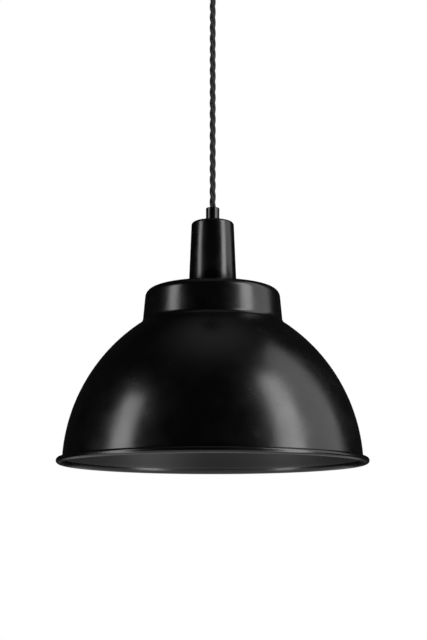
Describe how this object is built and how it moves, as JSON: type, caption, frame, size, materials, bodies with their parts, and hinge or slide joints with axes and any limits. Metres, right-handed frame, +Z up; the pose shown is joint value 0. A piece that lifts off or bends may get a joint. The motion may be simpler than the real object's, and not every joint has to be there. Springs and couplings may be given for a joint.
{
  "type": "pendant ceiling light",
  "caption": "Pendant ceiling light: a black dome shade with a stepped crown and rolled rim, hung by a twisted flex from a round ceiling cup.",
  "frame": {"origin": "on the ceiling face, where the bracket's flat back meets the ceiling, on the lamp's vertical axis", "axes": "+Z up through the ceiling along the lamp's axis, +X to the right of the front, front towards -Y"},
  "size_m": [0.3298, 0.3298, 0.5814],
  "materials": {
    "satin_black_paint": "satin",
    "black_fabric": "matte",
    "zinc_steel": "satin",
    "brass": "satin",
    "nickel": "satin",
    "porcelain": "gloss",
    "black_moulding": "satin",
    "pale_plastic": "satin",
    "clear_glass": "gloss",
    "phosphor": "matte",
    "brown_insulation": "satin",
    "blue_insulation": "satin",
    "green_insulation": "satin",
    "satin_black_shade": "satin"
  },
  "bodies": {
    "ceiling_rose": {"ceiling_bracket": "zinc_steel", "earth_screw": "brass", "ceiling_cup": "satin_black_paint", "cup_screw_left": "zinc_steel", "cup_screw_right": "zinc_steel", "ceiling_grip": "satin_black_paint", "ceiling_grip_screw": "zinc_steel", "ceiling_grip_nut": "brass", "terminal_block": "pale_plastic", "terminal_screw_1": "brass", "terminal_screw_2": "brass", "cord_tail": "black_fabric", "tail_live": "brown_insulation", "tail_neutral": "blue_insulation", "tail_earth": "green_insulation"},
    "flex_knuckle": {"cord_bend": "black_fabric"},
    "flex": {"cord": "black_fabric"},
    "lampholder": {"cord_grip": "satin_black_paint", "cord_grip_screw": "zinc_steel", "lampholder_cover": "satin_black_paint", "holder_yoke": "zinc_steel", "grip_nut": "brass", "yoke_screw_left": "zinc_steel", "yoke_screw_right": "zinc_steel", "yoke_earth_screw": "brass", "holder_ceramic": "porcelain", "live_terminal_screw": "brass", "neutral_terminal_screw": "brass", "screw_shell": "brass", "centre_contact": "brass", "holder_skirt": "black_moulding", "cord_end": "black_fabric", "core_live": "brown_insulation", "core_neutral": "blue_insulation", "core_earth": "green_insulation"},
    "dome": {"shade": "satin_black_shade"},
    "ring": {"shade_ring": "black_moulding"},
    "bulb": {"bulb_glass": "clear_glass", "bulb_cap": "nickel", "bulb_insulator": "black_moulding", "bulb_tip": "nickel", "bulb_stem": "clear_glass", "bulb_filament_1": "phosphor", "bulb_filament_2": "phosphor", "bulb_filament_3": "phosphor", "bulb_filament_4": "phosphor"}
  },
  "joints": [
    {"name": "swing_side", "type": "hinge", "parent": "ceiling_rose", "child": "flex_knuckle", "pos_m": [0, 0, -0.0499], "axis": [0, 1, 0], "range_deg": [-30, 30]},
    {"name": "swing_fore", "type": "hinge", "parent": "flex_knuckle", "child": "flex", "pos_m": [0, 0, -0.0499], "axis": [1, 0, 0], "range_deg": [-30, 30]},
    {"name": "flex_twist", "type": "hinge", "parent": "flex", "child": "lampholder", "pos_m": [0, 0, -0.3013], "axis": [0, 0, 1], "range_deg": [-90, 90], "stiffness_Nm_per_rad": 0.002},
    {"name": "shade_lower", "type": "slide", "parent": "lampholder", "child": "dome", "axis": [0, 0, -1], "range_m": [0, 0.0175]},
    {"name": "ring_turn", "type": "hinge", "parent": "dome", "child": "ring", "pos_m": [0, 0, -0.3994], "axis": [0, 0, -1], "range_deg": [0, 2520]},
    {"name": "bulb_out", "type": "slide", "parent": "lampholder", "child": "bulb", "axis": [0, 0, -1], "range_m": [0, 0.22]}
  ],
  "couplings": [
    {"joint": "ring_turn", "follows": "shade_lower", "rad_per_m": 2513.3}
  ]
}
